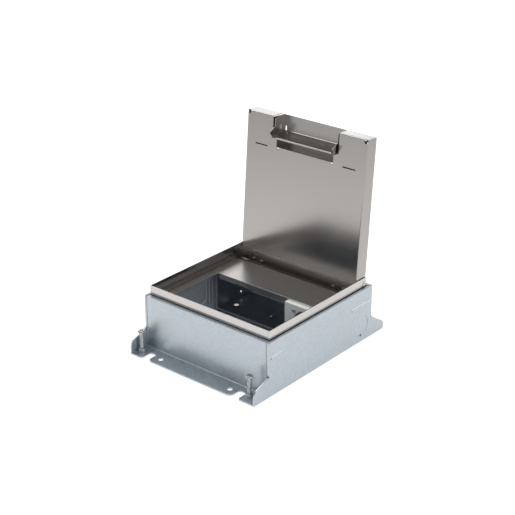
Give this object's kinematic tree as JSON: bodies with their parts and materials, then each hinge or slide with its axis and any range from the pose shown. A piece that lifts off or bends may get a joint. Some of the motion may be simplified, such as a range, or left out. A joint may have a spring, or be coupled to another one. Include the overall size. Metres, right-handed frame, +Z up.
{
  "type": "floor socket box",
  "caption": "Sheet-steel floor box with a stainless frame, a hinged tray lid with a cord outlet flap, fixing flanges and levelling screws.",
  "frame": {"origin": "centre of the base's footprint, on the floor that the box stands on", "axes": "+Z up, square to the floor; -Y is the front, where the lid's outlet lies when it is shut; +X to the right seen from the front"},
  "size_m": [0.21, 0.2704, 0.2761],
  "materials": {
    "galvanised": "zinc-coated sheet, fine spangle, satin",
    "stainless": "fine ground stainless sheet, satin",
    "rubber": "matt black rubber",
    "white_enamel": "light grey-white satin coating",
    "zinc_screw": "bright zinc plating"
  },
  "bodies": {
    "housing": {"side_wall_right": "galvanised", "side_wall_left": "galvanised", "front_wall": "galvanised", "rear_wall": "galvanised", "base_plate": "galvanised", "screw_collars": "galvanised", "corner_bracket_front_left": "galvanised", "corner_bracket_front_right": "galvanised", "corner_bracket_rear_left": "galvanised", "corner_bracket_rear_right": "galvanised", "device_carrier": "galvanised", "frame_rim": "stainless", "cover_plate": "stainless", "seal_retainer": "stainless", "seal_clips": "stainless", "plate_rivets": "stainless", "rim_rivets": "stainless", "hinge_pin_left": "stainless", "hinge_pin_right": "stainless", "rear_seal": "rubber", "device_bracket": "white_enamel", "bracket_screws": "zinc_screw"},
    "lid": {"lid_tray": "stainless", "lid_liner": "galvanised", "outlet_pocket": "stainless", "flap_pin_left": "stainless", "flap_pin_right": "stainless"},
    "flap": {"outlet_flap": "stainless"},
    "levelling_screw_front_left": {"levelling_screw_front_left": "zinc_screw"},
    "levelling_screw_front_right": {"levelling_screw_front_right": "zinc_screw"},
    "levelling_screw_rear_left": {"levelling_screw_rear_left": "zinc_screw"},
    "levelling_screw_rear_right": {"levelling_screw_rear_right": "zinc_screw"}
  },
  "joints": [
    {"name": "lid_hinge", "type": "hinge", "parent": "housing", "child": "lid", "pos_m": [0, 0.0925, 0.0847], "axis": [1, 0, 0], "range_deg": [0, 94.25]},
    {"name": "flap_hinge", "type": "hinge", "parent": "lid", "child": "flap", "pos_m": [0, 0.10213, 0.25606], "axis": [-1, 0, 0], "range_deg": [0, 50]},
    {"name": "screw_travel_front_left", "type": "slide", "parent": "housing", "child": "levelling_screw_front_left", "axis": [0, 0, 1], "range_m": [-0.02, 0]},
    {"name": "screw_travel_front_right", "type": "slide", "parent": "housing", "child": "levelling_screw_front_right", "axis": [0, 0, 1], "range_m": [-0.02, 0]},
    {"name": "screw_travel_rear_left", "type": "slide", "parent": "housing", "child": "levelling_screw_rear_left", "axis": [0, 0, 1], "range_m": [-0.02, 0]},
    {"name": "screw_travel_rear_right", "type": "slide", "parent": "housing", "child": "levelling_screw_rear_right", "axis": [0, 0, 1], "range_m": [-0.02, 0]}
  ]
}
